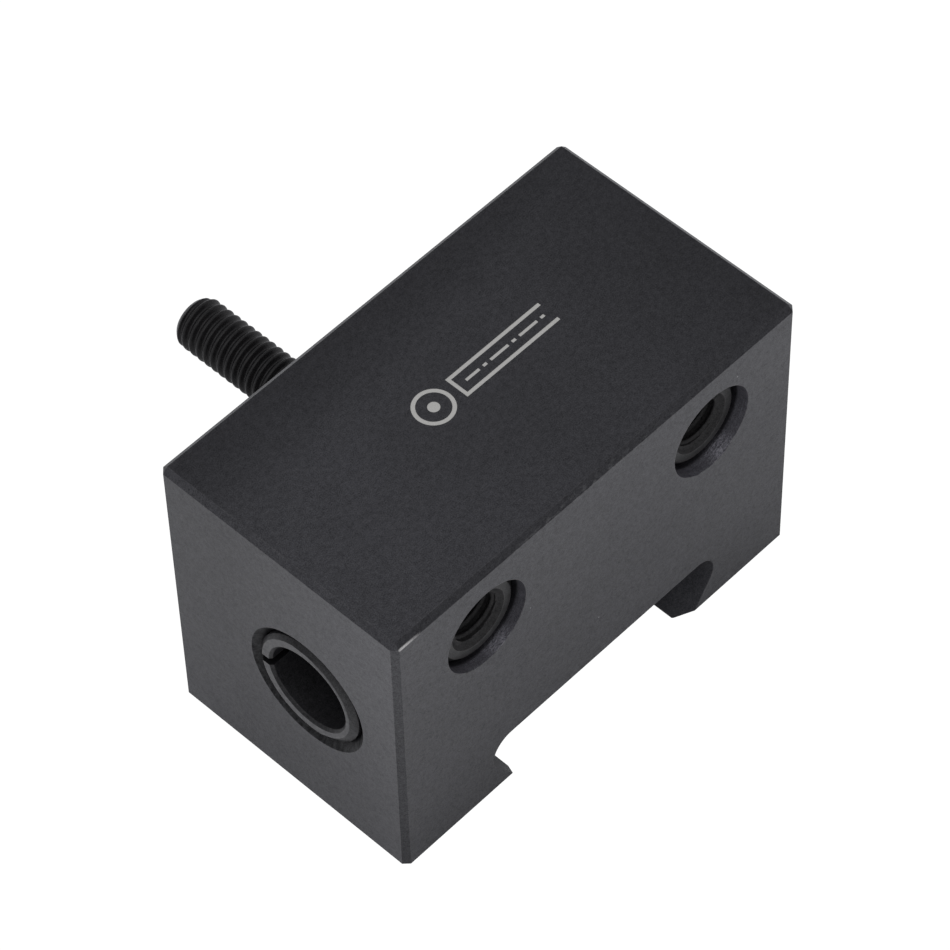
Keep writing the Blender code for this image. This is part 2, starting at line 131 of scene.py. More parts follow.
# one pitch of the thread: (place along the pitch, height from root 0 to crest 1)
THREAD = (
    (0.00, 0.00), (0.07, 0.04), (0.15, 0.22), (0.26, 0.56), (0.35, 0.83), (0.43, 0.96),
    (0.50, 1.00), (0.57, 0.96), (0.65, 0.83), (0.74, 0.56), (0.85, 0.22), (0.93, 0.04))

# the axis a shape runs along, then the first and second axes across it
AXES = {
    "X": (Vector((1, 0, 0)), Vector((0, 1, 0)), Vector((0, 0, 1))),
    "Y": (Vector((0, 1, 0)), Vector((0, 0, 1)), Vector((1, 0, 0))),
    "Z": (Vector((0, 0, 1)), Vector((1, 0, 0)), Vector((0, 1, 0))),
}


# ------------------------------------------------------------------ mesh tools
def link(name, shape, material):
    """Turn a bmesh into an object in the scene."""
    bmesh.ops.recalc_face_normals(shape, faces=shape.faces)
    mesh = bpy.data.meshes.new(name)
    shape.to_mesh(mesh)
    shape.free()
    obj = bpy.data.objects.new(name, mesh)
    scene.collection.objects.link(obj)
    mesh.materials.append(material)
    return obj


def carve(obj, tools, first="DIFFERENCE"):
    """Apply the object's modifiers, then use the tools in order and discard them.

    first is the operation of the first tool; all the others cut.
    """
    for tool in tools:
        mod = obj.modifiers.new(tool.name, "BOOLEAN")
        mod.operation = first if tool is tools[0] else "DIFFERENCE"
        mod.object = tool
        mod.solver = "EXACT"
        mod.material_mode = "TRANSFER"
    bpy.context.view_layer.update()
    graph = bpy.context.evaluated_depsgraph_get()
    mesh = bpy.data.meshes.new_from_object(obj.evaluated_get(graph), depsgraph=graph)
    obj.modifiers.clear()
    old, obj.data = obj.data, mesh
    bpy.data.meshes.remove(old)
    for tool in tools:
        data = tool.data
        bpy.data.objects.remove(tool, do_unlink=True)
        bpy.data.meshes.remove(data)


def finish(obj, body, node, sharp=32.0, weighted=True):
    """Clean the mesh, shade it, and hang it on its body in place of its CAD node."""
    shape = bmesh.new()
    shape.from_mesh(obj.data)
    bmesh.ops.remove_doubles(shape, verts=shape.verts, dist=2e-7)
    bmesh.ops.dissolve_degenerate(shape, edges=shape.edges, dist=2e-7)
    bmesh.ops.recalc_face_normals(shape, faces=shape.faces)
    shape.to_mesh(obj.data)
    shape.free()
    obj.data.name = obj.name
    obj.data.shade_smooth()
    obj.data.set_sharp_from_angle(angle=math.radians(sharp))
    if weighted:
        mod = obj.modifiers.new("flat_faces_stay_flat", "WEIGHTED_NORMAL")
        mod.mode = "FACE_AREA"
        mod.weight = 80
        mod.keep_sharp = True
    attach(obj, body)
    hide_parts(node)


def turned(profile, axis, centre, segments, turn=0.0, loop=False, wobble=None):
    """Turned body from (distance along axis, radius) points.

    loop joins the last point to the first, which leaves a hole along the axis.
    wobble(ring, column, angle) is added to the radius.
    """
    along, first, second = AXES[axis]
    centre = Vector(centre)
    shape = bmesh.new()
    rings = []
    for k, (distance, radius) in enumerate(profile):
        if radius == 0.0:
            rings.append([shape.verts.new(centre + along * distance)])
            continue
        ring = []
        for i in range(segments):
            angle = turn + 2.0 * math.pi * i / segments
            reach = radius + (wobble(k, i, angle) if wobble else 0.0)
            outward = (first * math.cos(angle) + second * math.sin(angle)) * reach
            ring.append(shape.verts.new(centre + along * distance + outward))
        rings.append(ring)
    pairs = list(zip(rings, rings[1:]))
    if loop:
        pairs.append((rings[-1], rings[0]))
    for here, there in pairs:
        for i in range(segments):
            j = (i + 1) % segments
            if len(here) == 1:
                shape.faces.new((here[0], there[j], there[i]))
            elif len(there) == 1:
                shape.faces.new((here[i], here[j], there[0]))
            else:
                shape.faces.new((here[i], here[j], there[j], there[i]))
    if not loop:
        if len(rings[0]) > 1:
            shape.faces.new(list(reversed(rings[0])))
        if len(rings[-1]) > 1:
            shape.faces.new(rings[-1])
    return shape


def prism(outline, axis, start, end, centre=(0.0, 0.0, 0.0), shape=None):
    """Straight prism of a closed outline of (first, second) coordinates."""
    along, first, second = AXES[axis]
    centre = Vector(centre)
    shape = shape or bmesh.new()
    here, there = (
        [shape.verts.new(centre + along * distance + first * p + second * q) for p, q in outline]
        for distance in (start, end))
    shape.faces.new(list(reversed(here)))
    shape.faces.new(there)
    for i in range(len(outline)):
        j = (i + 1) % len(outline)
        shape.faces.new((here[i], here[j], there[j], there[i]))
    return shape


def threaded(x, z, start, end, least, most, grow=0.0):
    """Closed rod along +Y with a right-hand M6 thread.

    least(y) and most(y) limit the radius, and must meet at both ends.  Every
    thread on one axis has the same phase, so that mating threads mesh.
    """
    shape = bmesh.new()
    steps = len(THREAD)
    first = math.floor(start / PITCH) - 2
    turns = int(math.ceil((end - start) / PITCH)) + 4
    grid = []
    for k in range(turns * steps + 1):
        offset, height = THREAD[k % steps]
        row = []
        for i in range(THREAD_COLUMNS):
            angle = 2.0 * math.pi * i / THREAD_COLUMNS
            y = PITCH * (first + k // steps + offset + i / THREAD_COLUMNS)
            y = min(max(y, start), end)
            radius = min(max(ROOT + (CREST - ROOT) * height + grow, least(y)), most(y))
            row.append(shape.verts.new((x + radius * math.sin(angle), y,
                                        z + radius * math.cos(angle))))
        grid.append(row)
    for here, there in zip(grid, grid[1:]):
        for i in range(THREAD_COLUMNS - 1):
            shape.faces.new((here[i], here[i + 1], there[i + 1], there[i]))
    # the seam joins each row to the row one pitch on
    for k in range(len(grid) - 1 - steps):
        shape.faces.new((grid[k][-1], grid[k + steps][0], grid[k + steps + 1][0], grid[k + 1][-1]))
    bmesh.ops.remove_doubles(shape, verts=shape.verts, dist=1e-8)
    rim = [edge for edge in shape.edges if len(edge.link_faces) == 1]
    bmesh.ops.holes_fill(shape, edges=rim, sides=0)
    loose = [vert for vert in shape.verts if not vert.link_faces]
    bmesh.ops.delete(shape, geom=loose, context="VERTS")
    return shape


def ramp(y, y_from, y_to, value_from, value_to):
    share = min(max((y - y_from) / (y_to - y_from), 0.0), 1.0)
    return value_from + (value_to - value_from) * share


def disc(first, second, radius, count):
    return [(first + radius * math.cos(2 * math.pi * i / count),
             second + radius * math.sin(2 * math.pi * i / count)) for i in range(count)]


def rectangle(first_lo, first_hi, second_lo, second_hi):
    return [(first_lo, second_lo), (first_hi, second_lo),
            (first_hi, second_hi), (first_lo, second_hi)]


def hexagon(corner_r):
    return [(corner_r * math.cos(math.pi / 3 * k), corner_r * math.sin(math.pi / 3 * k))
            for k in range(6)]


# --------------------------------------------------------------- shader tools
class Value:
    """A node's output; each operator on it adds one Math node."""

    def __init__(self, shader, socket):
        self.shader = shader
        self.socket = socket

    def __add__(self, other):
        return self.shader.math("ADD", self, other)

    def __radd__(self, other):
        return self.shader.math("ADD", other, self)

    def __sub__(self, other):
        return self.shader.math("SUBTRACT", self, other)

    def __rsub__(self, other):
        return self.shader.math("SUBTRACT", other, self)

    def __mul__(self, other):
        return self.shader.math("MULTIPLY", self, other)

    def __rmul__(self, other):
        return self.shader.math("MULTIPLY", other, self)

    def __pow__(self, other):
        return self.shader.math("POWER", self, other)

    def __gt__(self, other):
        return self.shader.math("GREATER_THAN", self, other)

    def __lt__(self, other):
        return self.shader.math("LESS_THAN", self, other)

    def __abs__(self):
        return self.shader.math("ABSOLUTE", self)

    def remap(self, over, to=(0.0, 1.0), smooth=False):
        """Carry the range `over` to the range `to`, held at both ends."""
        return self.shader.output(
            "ShaderNodeMapRange", "Result",
            {"Value": self, "From Min": over[0], "From Max": over[1],
             "To Min": to[0], "To Max": to[1]},
            clamp=True, interpolation_type="SMOOTHSTEP" if smooth else "LINEAR")


class Shader:
    """The node tree of a material or a world, written as expressions."""

    def __init__(self, owner):
        self.owner = owner
        owner.use_nodes = True
        self.tree = owner.node_tree
        self.tree.nodes.clear()

    def put(self, socket, value):
        if isinstance(value, Value):
            self.tree.links.new(value.socket, socket)
        elif value is not None:
            socket.default_value = value

    def node(self, kind, inputs=None, **props):
        node = self.tree.nodes.new(kind)
        for key, value in props.items():
            setattr(node, key, value)
        for key, value in (inputs or {}).items():
            self.put(node.inputs[key], value)
        return node

    def output(self, kind, name, inputs=None, **props):
        return Value(self, self.node(kind, inputs, **props).outputs[name])

    def math(self, operation, first, second=None, clamp=False):
        return self.output("ShaderNodeMath", 0, {0: first, 1: second},
                           operation=operation, use_clamp=clamp)

    def limited(self, first, second):
        """Product held between 0 and 1."""
        return self.math("MULTIPLY", first, second, clamp=True)

    def vector(self, operation, first, second, output="Vector"):
        return self.output("ShaderNodeVectorMath", output, {0: first, 1: second},
                           operation=operation)

    def scaled(self, vector, factor):
        return self.output("ShaderNodeVectorMath", "Vector", {0: vector, "Scale": factor},
                           operation="SCALE")

    def split(self, vector):
        node = self.node("ShaderNodeSeparateXYZ", {"Vector": vector})
        return [Value(self, socket) for socket in node.outputs]

    def noise(self, point, scale, detail=2.0, rough=0.5, distortion=0.0, stretch=None, shift=None):
        if stretch:
            point = self.vector("MULTIPLY", point, stretch)
        if shift:
            point = self.vector("ADD", point, shift)
        return self.output("ShaderNodeTexNoise", "Fac", {
            "Vector": point, "Scale": scale, "Detail": detail, "Roughness": rough,
            "Distortion": distortion})

    def blend(self, data_type, kind, factor, first, second):
        node = self.node("ShaderNodeMix", {"Factor": factor}, data_type=data_type,
                         clamp_factor=True)
        ends = [socket for socket in node.inputs if socket.type == kind and socket.name in ("A", "B")]
        self.put(ends[0], first)
        self.put(ends[1], second)
        return Value(self, [socket for socket in node.outputs if socket.type == kind][0])

    def mix(self, factor, colour, other):
        return self.blend("RGBA", "RGBA", factor, colour, (*other, 1.0))

    def choose(self, factor, first, second):
        return self.blend("FLOAT", "VALUE", factor, first, second)

    def rounded(self, radius):
        """Normal as if the edges had this radius."""
        return self.output("ShaderNodeBevel", "Normal", {"Radius": radius}, samples=6)

    def surface(self, closure, kind="ShaderNodeOutputMaterial"):
        self.node(kind, {"Surface": closure})
        return self.owner


def object_mm(shader):
    return shader.scaled(shader.output("ShaderNodeTexCoord", "Object"), 1000.0)


def tinted(shader, look, tone):
    look.colour = shader.scaled(look.colour, tone)
    look.spec = look.spec * tone


# ---------------------------------------------------------------- black oxide
# how far each texture moves the tone, the reflection, the roughness and the bump
TONE = {"fine": 1.7, "finer": 1.2, "lines": 0.22, "blot": 0.9}
MOTTLE = {"fine": 2.0, "finer": 1.6, "blot": 1.0}
ROUGHEN = {"fine": 0.16, "patch": 0.10, "worn": 0.08}
RELIEF = {"fine": 0.60, "finer": 0.40, "lines": 0.5}
WEAR_RADIUS = 0.16 * MM
WORN_COLOUR, WORN_COVER, WORN_METAL = (0.16, 0.155, 0.15), 0.55, 0.35


def black_oxide(name, base, rough, spec, grain=1.0, wear=1.0, lay=1.0, dust=0.0, extra=None,
                bevel=0.10):
    """Satin black oxide on steel: fine etched grain, faint grinding lay, soft
    tone patches, thin worn edges and, where asked, a few specks of lint.

    grain, wear, lay and dust are strengths; bevel is the edge rounding in mm;
    extra(shader, look) alters the look before it is used.
    """
    shader = Shader(bpy.data.materials.new(name))
    point = object_mm(shader)
    geometry = shader.node("ShaderNodeNewGeometry")
    normal = Value(shader, geometry.outputs["Normal"])

    fine = shader.noise(point, scale=7.5, detail=3.0, rough=0.62)
    finer = shader.noise(point, scale=19.0, detail=2.0, rough=0.55)
    patch = shader.noise(point, scale=0.10, detail=3.0, rough=0.55)
    blot = shader.noise(point, scale=2.1, detail=3.0, rough=0.65, shift=(3.0, 17.0, 5.0)) - 0.5
    breaks = shader.noise(point, scale=0.75, detail=3.0, rough=0.6, shift=(31.0, 7.0, 13.0))

    # grinding lay: long faint lines, along X, and along Y on the two end faces
    end = abs(shader.split(normal)[0]) > 0.8
    lay_x = shader.noise(point, scale=1.0, detail=4.0, rough=0.65, stretch=(0.045, 5.0, 5.0))
    lay_y = shader.noise(point, scale=1.0, detail=4.0, rough=0.65, stretch=(5.0, 0.045, 5.0))
    lines = shader.choose(end, lay_x, lay_y)

    # worn edges, from how much a rounded normal leaves the true one
    turn = 1.0 - shader.vector("DOT_PRODUCT", shader.rounded(WEAR_RADIUS), normal, output="Value")
    edge = turn.remap(over=(0.012, 0.14))
    broken = (breaks * 0.75 + fine * 0.35).remap(over=(0.42, 0.72))
    worn = shader.limited(edge * broken, wear)

    tone = (patch.remap(over=(0.3, 0.7), to=(0.90, 1.10))
            + (fine - 0.5) * (TONE["fine"] * grain)
            + (finer - 0.5) * (TONE["finer"] * grain)
            + (lines - 0.5) * (TONE["lines"] * lay)
            + blot * (TONE["blot"] * grain))
    colour = shader.scaled(base, tone)
    colour = shader.mix(worn * WORN_COVER, colour, WORN_COLOUR)
    metal = worn * WORN_METAL
    roughness = (rough + (fine - 0.5) * ROUGHEN["fine"] + (patch - 0.5) * ROUGHEN["patch"]
                 - worn * ROUGHEN["worn"])
    mottle = ((fine - 0.5) * (MOTTLE["fine"] * grain)
              + (finer - 0.5) * (MOTTLE["finer"] * grain)
              + blot * (MOTTLE["blot"] * grain))
    look = SimpleNamespace(
        colour=colour, metal=metal, spec=spec * shader.math("MAXIMUM", 1.0 + mottle, 0.1),
        point=point, fine=fine, normal=Value(shader, geometry.outputs["True Normal"]))
    if dust:
        lint(shader, look, dust)

    height = (fine * RELIEF["fine"] + finer * RELIEF["finer"]
              + lines * (RELIEF["lines"] * lay))
    bump = shader.output("ShaderNodeBump", "Normal", {
        "Strength": 0.7 * grain, "Distance": 0.012 * MM, "Height": height,
        "Normal": shader.rounded(bevel * MM)})
    if extra:
        extra(shader, look)
    return shader.surface(shader.output("ShaderNodeBsdfPrincipled", "BSDF", {
        "Base Color": look.colour, "Roughness": roughness, "Metallic": look.metal,
        "Specular IOR Level": look.spec, "Normal": bump}))


def lint(shader, look, amount):
    """Pale ragged specks, in the few cells that draw a high random number."""
    cell = shader.node("ShaderNodeTexVoronoi",
                       {"Vector": look.point, "Scale": 0.21, "Randomness": 1.0})
    parts = shader.node("ShaderNodeSeparateColor")
    shader.put(parts.inputs["Color"], Value(shader, cell.outputs["Color"]))
    pick = Value(shader, parts.outputs[0])
    size = pick.remap(over=(0.80, 1.0), to=(0.0, 0.030))
    ragged = (look.fine - 0.5) * 0.02
    speck = (Value(shader, cell.outputs["Distance"]) + ragged) < size
    speck = shader.limited(speck * (pick > 0.82), amount)
    look.colour = shader.mix(speck, look.colour, (0.20, 0.20, 0.205))
    look.spec = look.spec * (1.0 - speck)


def block_painted_light(shader, look):
    """Painted light and shade over the block's faces, set by which way each face looks and where on
    it; then the marks and a painted highlight on one chamfer.
    """
    x, y, z = shader.split(look.point)
    x_lo, y_lo = X_LO / MM, Y_LO / MM
    facing = shader.split(look.normal)
    across_x, across_z = abs(facing[0]), abs(facing[2])
    # painted light and shade: the +Z face is palest towards -X and -Y
    along = (x.remap(over=(x_lo + 5.0, x_lo + 27.0), to=(1.10, 0.92))
             - x.remap(over=(x_lo + 36.0, x_lo + 54.0), to=(0.0, 0.24)))
    across = y.remap(over=(y_lo + 17.0, y_lo + 29.0), to=(1.10, 0.70), smooth=True)
    upper = shader.math("MINIMUM", along, across)
    # painted shade: the Y sides darken downwards; painted light: the X ends are palest high up near
    # -Y
    side = (z.remap(over=(1.0, 14.0), to=(0.76, 1.0))
            + z.remap(over=(20.0, 36.0), to=(0.0, 0.22)))
    high = z.remap(over=(6.0, 30.0), to=(0.25, 1.0))
    end = (z.remap(over=(1.0, 10.0), to=(1.10, 1.0))
           + high * y.remap(over=(y_lo, y_lo + 22.0), to=(0.50, -0.05)))
    wall = shader.choose(across_x > 0.9, side, end)
    tone = shader.choose(facing[2] > 0.9, wall, upper)
    # painted shade: chamfers are darker, those sloping to X most, then those sloping to Y and the
    # upright ones
    slant = (across_z > 0.55) * (across_z < 0.85)
    upright = (across_x > 0.55) * (across_x < 0.85)
    tone = tone * shader.choose(slant, 1.0, shader.choose(across_x > 0.5, 0.62, 0.85))
    tone = tone * shader.choose(upright * (across_z < 0.3), 1.0, 0.85)
    tinted(shader, look, tone)
    chamfer_marks_and_highlight(shader, look, x, y, z)


def chamfer_marks_and_highlight(shader, look, x, y, z):
    """Bright rub, its pale colour partly a painted highlight, and faint scuffs on the chamfer between
    the +Z face and the -Y side.
    """
    x_lo, y_lo, chamfer_z = X_LO / MM, Y_LO / MM, TOP / MM - EDGE_CHAMFER / MM
    # distance from the chamfer's lower edge
    away = shader.math("SQRT", (y - y_lo) ** 2.0 + (z - chamfer_z) ** 2.0)
    # a short bright rub beside the corner at -X: bare steel, with a painted highlight in its pale
    # colour
    near = away.remap(over=(0.04, 0.22), to=(1.0, 0.0), smooth=True)
    start = x.remap(over=(x_lo + 0.45, x_lo + 0.75))
    stop = x.remap(over=(x_lo + 0.9, x_lo + 3.4), to=(1.0, 0.0))
    rub_and_highlight = near * start * stop
    rub_and_highlight = shader.limited(rub_and_highlight, look.fine.remap(over=(0.30, 0.60), to=(0.45, 1.0)))
    # scuffs near the middle of its length
    scuff = shader.noise(look.point, scale=1.0, detail=4.0, rough=0.7, stretch=(1.1, 3.0, 3.0))
    scuff = scuff.remap(over=(0.52, 0.68))
    band = away.remap(over=(0.15, 0.75), to=(1.0, 0.0))
    centre = x.remap(over=(-14.0, -8.0)) * x.remap(over=(4.0, 14.0), to=(1.0, 0.0))
    scuff = shader.limited(scuff * band, centre * 0.30)
    look.colour = shader.mix(scuff, look.colour, (0.13, 0.13, 0.13))
    look.colour = shader.mix(rub_and_highlight, look.colour, (0.50, 0.49, 0.48))
    look.metal = shader.choose(rub_and_highlight, look.metal, 0.75)
    look.spec = shader.choose(rub_and_highlight, look.spec, 0.5)


# the drilled tone, with its painted shade and painted glint, also scales the reflection
DRILLED_REFLECTION = 1.0  # share of the drilled tone that reaches the reflection


def drilled(shader, look):
    """Rings left by the drill, paler from the -Y mouths up to the tapped cotters, with painted shade
    deeper than the cotters and a painted glint low in each hole.
    """
    x, y, z = shader.split(look.point)
    rings = shader.noise(look.point, scale=1.0, detail=3.0, rough=0.7, stretch=(0.35, 9.0, 0.35))
    glint_streaks = shader.noise(look.point, scale=1.0, detail=2.0, rough=0.6, distortion=0.6,
                        stretch=(2.6, 7.0, 2.6))
    cotter = shader.choose(x > 0.0, (CLAMP["left"].tapped[0] - Y_LO) / MM,
                           (CLAMP["right"].tapped[0] - Y_LO) / MM)
    depth = y - Y_LO / MM
    # painted shade: darker beyond the tapped cotter's face
    shade = (depth - cotter).remap(over=(-0.25, 0.15), to=(1.0, 0.20), smooth=True)
    tone = 0.35 + rings * 1.3
    # painted glint: a pale streaked patch low in each hole, on the side away from x = 0
    down = (CLAMP["left"].z / MM - z).remap(over=(2.6, 4.6))
    outward = abs(x) - CLAMP["right"].x / MM
    outward = outward * shader.math("SIGN", x)
    painted_glint = down * (outward.remap(over=(0.0, 1.4))
                   * outward.remap(over=(2.6, 3.6), to=(1.0, 0.0)))
    painted_glint = painted_glint * glint_streaks.remap(over=(0.38, 0.62))
    tone = (tone + painted_glint * 1.6) * shade
    look.colour = shader.scaled(look.colour, tone)
    look.spec = look.spec * (tone * DRILLED_REFLECTION)


def sleeve_painted_light(shader, look):
    """End faces painted bright, bevels painted dark and the round faces a little darker, as lit and
    shaded by which way they face; then random chips of tone.
    """
    across = abs(shader.split(look.normal)[0])
    bevel = (across > 0.3) * (across < 0.96)
    tone = shader.choose(bevel, shader.choose(across > 0.96, 0.8, 1.40), 0.55)
    chips = shader.noise(look.point, scale=1.6, detail=3.0, rough=0.7, shift=(5.0, 2.0, 8.0))
    tinted(shader, look, tone * chips.remap(over=(0.35, 0.68), to=(0.88, 1.22)))


def turned_mouth(shader, look):
    """Chatter round the bore."""
    around = shader.noise(look.point, scale=1.0, detail=3.0, rough=0.7, stretch=(0.6, 2.2, 2.2))
    tinted(shader, look, around.remap(over=(0.32, 0.68), to=(0.45, 1.25)))


def etched(name):
    """Laser-etched steel: pale, matt and slightly speckled."""
    shader = Shader(bpy.data.materials.new(name))
    fine = shader.noise(object_mm(shader), scale=11.0, detail=3.0, rough=0.6)
    tone = fine.remap(over=(0.25, 0.75), to=(0.84, 1.12))
    colour = shader.scaled((0.33, 0.325, 0.31), tone)
    bump = shader.output("ShaderNodeBump", "Normal",
                         {"Strength": 0.5, "Distance": 0.01 * MM, "Height": fine})
    return shader.surface(shader.output("ShaderNodeBsdfPrincipled", "BSDF", {
        "Base Color": colour, "Roughness": fine.remap(over=(0.3, 0.7), to=(0.55, 0.72)),
        "Metallic": 0.0, "Specular IOR Level": 0.3, "Normal": bump}))


BLOCK = black_oxide("black_oxide_block", base=(0.0150, 0.0149, 0.0178), rough=0.40, spec=0.27,
                    wear=0.5, dust=1.0, extra=block_painted_light)
BORED = black_oxide("black_oxide_bored", base=(0.0110, 0.0110, 0.0118), rough=0.42, spec=0.25,
                    lay=0.4, wear=0.5)
CROSS = black_oxide("black_oxide_drilled", base=(0.0460, 0.0450, 0.0520), rough=0.45, spec=0.35,
                    lay=0.0, wear=0.4, extra=drilled)
# the bore's darker, duller base is partly painted shade for its shadowed mouth, partly chatter
MOUTH = black_oxide("black_oxide_mouth", base=(0.0070, 0.0070, 0.0078), rough=0.46, spec=0.17,
                    lay=0.2, wear=0.3, extra=turned_mouth)
MILLED = black_oxide("black_oxide_milled", base=(0.0250, 0.0252, 0.0285), rough=0.44, spec=0.28,
                     lay=0.8, wear=0.4)
TAPPED = black_oxide("black_oxide_tapped", base=(0.0130, 0.0126, 0.0128), rough=0.50, spec=0.12,
                     lay=0.0, wear=0.3, bevel=0.05)
SLEEVE = black_oxide("black_oxide_sleeve", base=(0.0140, 0.0138, 0.0150), rough=0.38, spec=0.28,
                     lay=0.3, wear=0.8, extra=sleeve_painted_light)
# painted shade: the slit's faces get a darker, duller copy of the oxide
SLIT = black_oxide("black_oxide_slit", base=(0.0040, 0.0040, 0.0044), rough=0.55, spec=0.06,
                   lay=0.2, wear=0.1)
COTTER = black_oxide("black_oxide_clamp", base=(0.0140, 0.0138, 0.0140), rough=0.43, spec=0.27,
                     lay=0.3, wear=0.8)
STUD = black_oxide("black_stud", base=(0.0056, 0.0053, 0.0057), rough=0.33, spec=0.17,
                   grain=0.6, lay=0.0, wear=0.5, bevel=0.05)
SCREW = black_oxide("black_screw", base=(0.0125, 0.0123, 0.0130), rough=0.32, spec=0.42,
                    grain=0.6, lay=0.0, wear=0.7, bevel=0.05)
NUT = black_oxide("black_nut", base=(0.0165, 0.0163, 0.0175), rough=0.36, spec=0.38,
                  lay=0.2, wear=1.0, bevel=0.08)
ETCH = etched("etched_steel")


# ------------------------------------------------------------------- the block
def slot_outline():
    """Dovetail slot as (z, x): each half has a rounded lip, a flank and a fillet."""
    corner = SLOT_HALF + math.tan(SLOT_ANGLE) * SLOT_CEILING
    inner = (math.pi / 2.0 - SLOT_ANGLE) / 2.0
    fillet_x = corner - SLOT_FILLET / math.tan(inner)
    fillet_z = SLOT_CEILING - SLOT_FILLET
    lip_x = SLOT_HALF + SLOT_NOSE / math.tan(inner)
    half = [(lip_x + 0.05 * MM, -OVERSHOOT), (lip_x + 0.05 * MM, -0.005 * MM)]
    for k in range(NOSE_STEPS + 1):
        angle = -math.pi / 2.0 - (math.pi / 2.0 + SLOT_ANGLE) * k / NOSE_STEPS
        half.append((lip_x + SLOT_NOSE * math.cos(angle),
                     SLOT_NOSE + SLOT_NOSE * math.sin(angle)))
    first, last = -SLOT_ANGLE, math.pi / 2.0
    for k in range(FILLET_STEPS + 1):
        angle = first + (last - first) * k / FILLET_STEPS
        half.append((fillet_x + SLOT_FILLET * math.cos(angle),
                     fillet_z + SLOT_FILLET * math.sin(angle)))
    return ([(z, SLOT_X + x) for x, z in half]
            + [(z, SLOT_X - x) for x, z in reversed(half)])


# the mark's outlines, in mm from its centre: (x, y)
MARK_RING_X, MARK_RING_R, MARK_RING_ID_R, MARK_DOT_R = -6.7, 2.15, 1.72, 0.62
MARK_BAR = ((8.85, 1.05), (8.85, 1.45), (-3.7, 1.45), (-3.7, -1.45),
            (8.85, -1.45), (8.85, -1.05), (-3.3, -1.05), (-3.3, 1.05))
# dashes of the bar's centre line: (start x, end x)
MARK_DASHES = ((-2.4, -0.6), (-0.1, 0.4), (0.9, 3.3), (3.8, 4.3), (4.8, 7.2), (7.7, 8.2))
MARK_DASH_HALF = 0.16


def mark_tool():
    """Pictogram of a bore and a boring bar, as shallow cutters over the +Z face."""
    shape = bmesh.new()
    centre = (1.8 * MM, Y_MID + 1.4 * MM, TOP)
    bottom, top = -0.02 * MM, 0.5 * MM
    ring_x, count = MARK_RING_X * MM, 56

    along, first, second = AXES["Z"]
    loops = []
    for height in (bottom, top):
        for radius in (MARK_RING_R * MM, MARK_RING_ID_R * MM):
            loops.append([
                shape.verts.new(Vector(centre) + along * height + first * p + second * q)
                for p, q in disc(ring_x, 0.0, radius, count)])
    outer_lo, inner_lo, outer_hi, inner_hi = loops
    for i in range(count):
        j = (i + 1) % count
        shape.faces.new((outer_lo[i], outer_lo[j], outer_hi[j], outer_hi[i]))
        shape.faces.new((inner_lo[j], inner_lo[i], inner_hi[i], inner_hi[j]))
        shape.faces.new((outer_lo[j], outer_lo[i], inner_lo[i], inner_lo[j]))
        shape.faces.new((outer_hi[i], outer_hi[j], inner_hi[j], inner_hi[i]))

    outlines = [disc(ring_x, 0.0, MARK_DOT_R * MM, 32), [(x * MM, y * MM) for x, y in MARK_BAR]]
    for start, end in MARK_DASHES:
        outlines.append(rectangle(start * MM, end * MM, -MARK_DASH_HALF * MM, MARK_DASH_HALF * MM))
    for outline in outlines:
        prism(outline, "Z", bottom, top, centre, shape)
    return link("mark_tool", shape, ETCH)


# The -Y mouths of the cross holes are torn along their lowest part.
# Angles are in degrees, from +Z over +X; rings 0 and 1 make the mouth.
def torn_left(ring, column, angle):
    degrees = math.degrees(angle) % 360.0
    if ring > 1 or not 150.0 < degrees < 215.0:
        return 0.0
    return max(0.0, noise.noise(Vector((degrees / 9.0, 9.0, 0.5)))) * 0.10 * MM


# stepped bites, deepest where they start: (start angle, depth in mm)
BITES = ((147.0, 0.20), (156.0, 0.34), (166.0, 0.20), (174.0, 0.26), (186.0, 0.10),
         (196.0, 0.18), (208.0, 0.0))


def torn_right(ring, column, angle):
    degrees = math.degrees(angle) % 360.0
    if ring > 1 or not BITES[0][0] < degrees < BITES[-1][0]:
        return 0.0
    for (start, depth), (end, _) in zip(BITES, BITES[1:]):
        if degrees < end:
            share = (degrees - start) / (end - start)
            ragged = 0.05 * noise.noise(Vector((degrees / 2.0, 3.0, 0.5)))
            return (depth * (1.0 - 0.55 * share) + ragged) * MM


def block_blank():
    shape = bmesh.new()
    bmesh.ops.create_cube(shape, size=1.0)
    bmesh.ops.scale(shape, vec=BLOCK_HI - BLOCK_LO, verts=shape.verts)
    bmesh.ops.translate(shape, vec=BLOCK_MID, verts=shape.verts)
    weight = shape.edges.layers.float.new("bevel_weight_edge")
    for edge in shape.edges:
        low = all(vert.co.z < 1e-6 for vert in edge.verts)
        edge[weight] = 1.0 if low else EDGE_CHAMFER / LAND_CHAMFER
    block = link("holder_block", shape, BLOCK)
    bevel = block.modifiers.new("edge_chamfers", "BEVEL")
    bevel.limit_method = "WEIGHT"
    bevel.offset_type = "OFFSET"
    bevel.width = LAND_CHAMFER
    bevel.segments = 1
    return block


def bore_tool():
    slope = (BORE_MOUTH_R - BORE_R) / BORE_MOUTH_DEPTH
    flare = BORE_MOUTH_R + slope * OVERSHOOT
    profile = [(X_LO - OVERSHOOT, flare), (X_LO + BORE_MOUTH_DEPTH, BORE_R),
               (X_HI - BORE_MOUTH_DEPTH, BORE_R), (X_HI + OVERSHOOT, flare)]
    return link("bore_tool", turned(profile, "X", (0.0, BORE_Y, BORE_Z), 192,
                                    turn=math.radians(1.3)), MOUTH)


def cross_tool(side, torn):
    stations = (Y_LO - OVERSHOOT, Y_LO + 0.25 * MM, Y_LO + 0.9 * MM, Y_HI - 0.2 * MM,
                Y_HI + OVERSHOOT)
    clamp = CLAMP[side]
    return link("cross_tool_" + side, turned(
        [(y, CROSS_R) for y in stations], "Y", (clamp.x, 0.0, clamp.z), 160,
        turn=math.radians(2.1), wobble=torn), CROSS)


